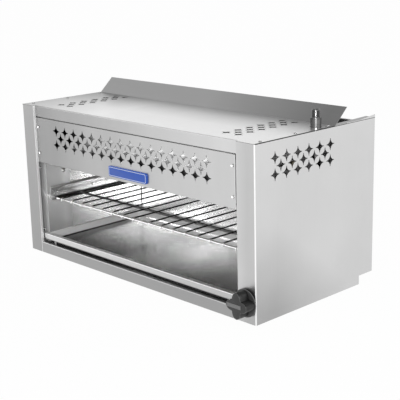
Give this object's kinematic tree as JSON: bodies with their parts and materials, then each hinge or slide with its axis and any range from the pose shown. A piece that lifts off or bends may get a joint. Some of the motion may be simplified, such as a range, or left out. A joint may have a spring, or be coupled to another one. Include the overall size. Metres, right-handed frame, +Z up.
{
  "type": "gas cheese melter",
  "caption": "Countertop or wall gas cheese melter: stainless cabinet open at the front, radiant burner in the hood, sliding wire rack and drip tray, gas control knob.",
  "frame": {"origin": "on the bench, under the middle of the base between the stiles and the back panel", "axes": "+X to the right seen from the front, +Y from the front to the back, +Z up"},
  "size_m": [0.9204, 0.4885, 0.4796],
  "materials": {
    "cabinet_stainless": "satin, fine vertical and horizontal brushing",
    "liner_stainless": "mill finish, slightly cloudy",
    "plain_steel": "dull mill finish",
    "plated_wire": "bright nickel-chrome plate",
    "pipe_steel": "plain pipe, dull",
    "brass": "machined",
    "zinc_plate": "bright zinc plate",
    "burner_ceramic": "unglazed, porous",
    "knob_black": "moulded phenolic, half gloss",
    "pointer_grey": "inlaid pointer",
    "badge_blue": "blank domed plate"
  },
  "bodies": {
    "cabinet": {"left_side_panel": "cabinet_stainless", "right_side_panel": "cabinet_stainless", "top_panel": "cabinet_stainless", "flue_deflector": "cabinet_stainless", "deflector_strip": "cabinet_stainless", "back_panel": "cabinet_stainless", "bottom_pan": "plain_steel", "bottom_front_rail": "cabinet_stainless", "left_frame_rail": "plain_steel", "right_frame_rail": "plain_steel", "front_panel": "cabinet_stainless", "front_panel_stiffeners": "cabinet_stainless", "front_panel_brackets": "plain_steel", "badge_plate": "badge_blue", "left_liner": "liner_stainless", "right_liner": "liner_stainless", "rear_liner": "liner_stainless", "liner_plug": "zinc_plate", "ceiling_panel": "liner_stainless", "front_reflector": "liner_stainless", "burner_plenum": "plain_steel", "ceramic_tiles": "burner_ceramic", "tile_retainer": "plain_steel", "burner_screen": "plated_wire", "burner_brackets": "plain_steel", "venturi_tube": "plain_steel", "orifice_fitting": "brass", "burner_feed_tube": "zinc_plate", "gas_inlet_nipple": "pipe_steel", "gas_inlet_coupling": "pipe_steel", "supply_riser": "pipe_steel", "supply_elbow": "pipe_steel", "supply_run": "pipe_steel", "gas_valve": "brass", "valve_bracket": "zinc_plate", "pilot_valve": "brass", "pilot_tube": "zinc_plate", "pilot_burner": "plain_steel", "pilot_bracket": "zinc_plate", "left_rack_guide": "liner_stainless", "right_rack_guide": "liner_stainless", "left_tray_guide": "liner_stainless", "right_tray_guide": "liner_stainless", "top_panel_screws": "zinc_plate", "front_panel_screws": "zinc_plate", "liner_screws": "zinc_plate", "rack_guide_screws": "zinc_plate", "tray_guide_screws": "zinc_plate", "back_panel_screws": "zinc_plate", "valve_bracket_screws": "zinc_plate"},
    "knob": {"control_knob": "knob_black", "knob_pointer": "pointer_grey", "valve_stem": "zinc_plate"},
    "rack": {"rack_frame": "plated_wire", "rack_wires": "plated_wire"},
    "tray": {"drip_tray": "cabinet_stainless", "tray_front_bar": "cabinet_stainless", "tray_stop": "cabinet_stainless"},
    "shutter": {"air_shutter": "zinc_plate"}
  },
  "joints": [
    {"name": "knob_turn", "type": "hinge", "parent": "cabinet", "child": "knob", "pos_m": [0.4282, -0.19735, 0.052], "axis": [0, -1, 0], "range_deg": [0, 90]},
    {"name": "rack_slide", "type": "slide", "parent": "cabinet", "child": "rack", "axis": [0, -1, 0], "range_m": [0, 0.22]},
    {"name": "tray_slide", "type": "slide", "parent": "cabinet", "child": "tray", "axis": [0, -1, 0], "range_m": [0, 0.25]},
    {"name": "shutter_turn", "type": "hinge", "parent": "cabinet", "child": "shutter", "pos_m": [0.405, -0.03735, 0.3577], "axis": [1, 0, 0], "range_deg": [0, 90]}
  ]
}
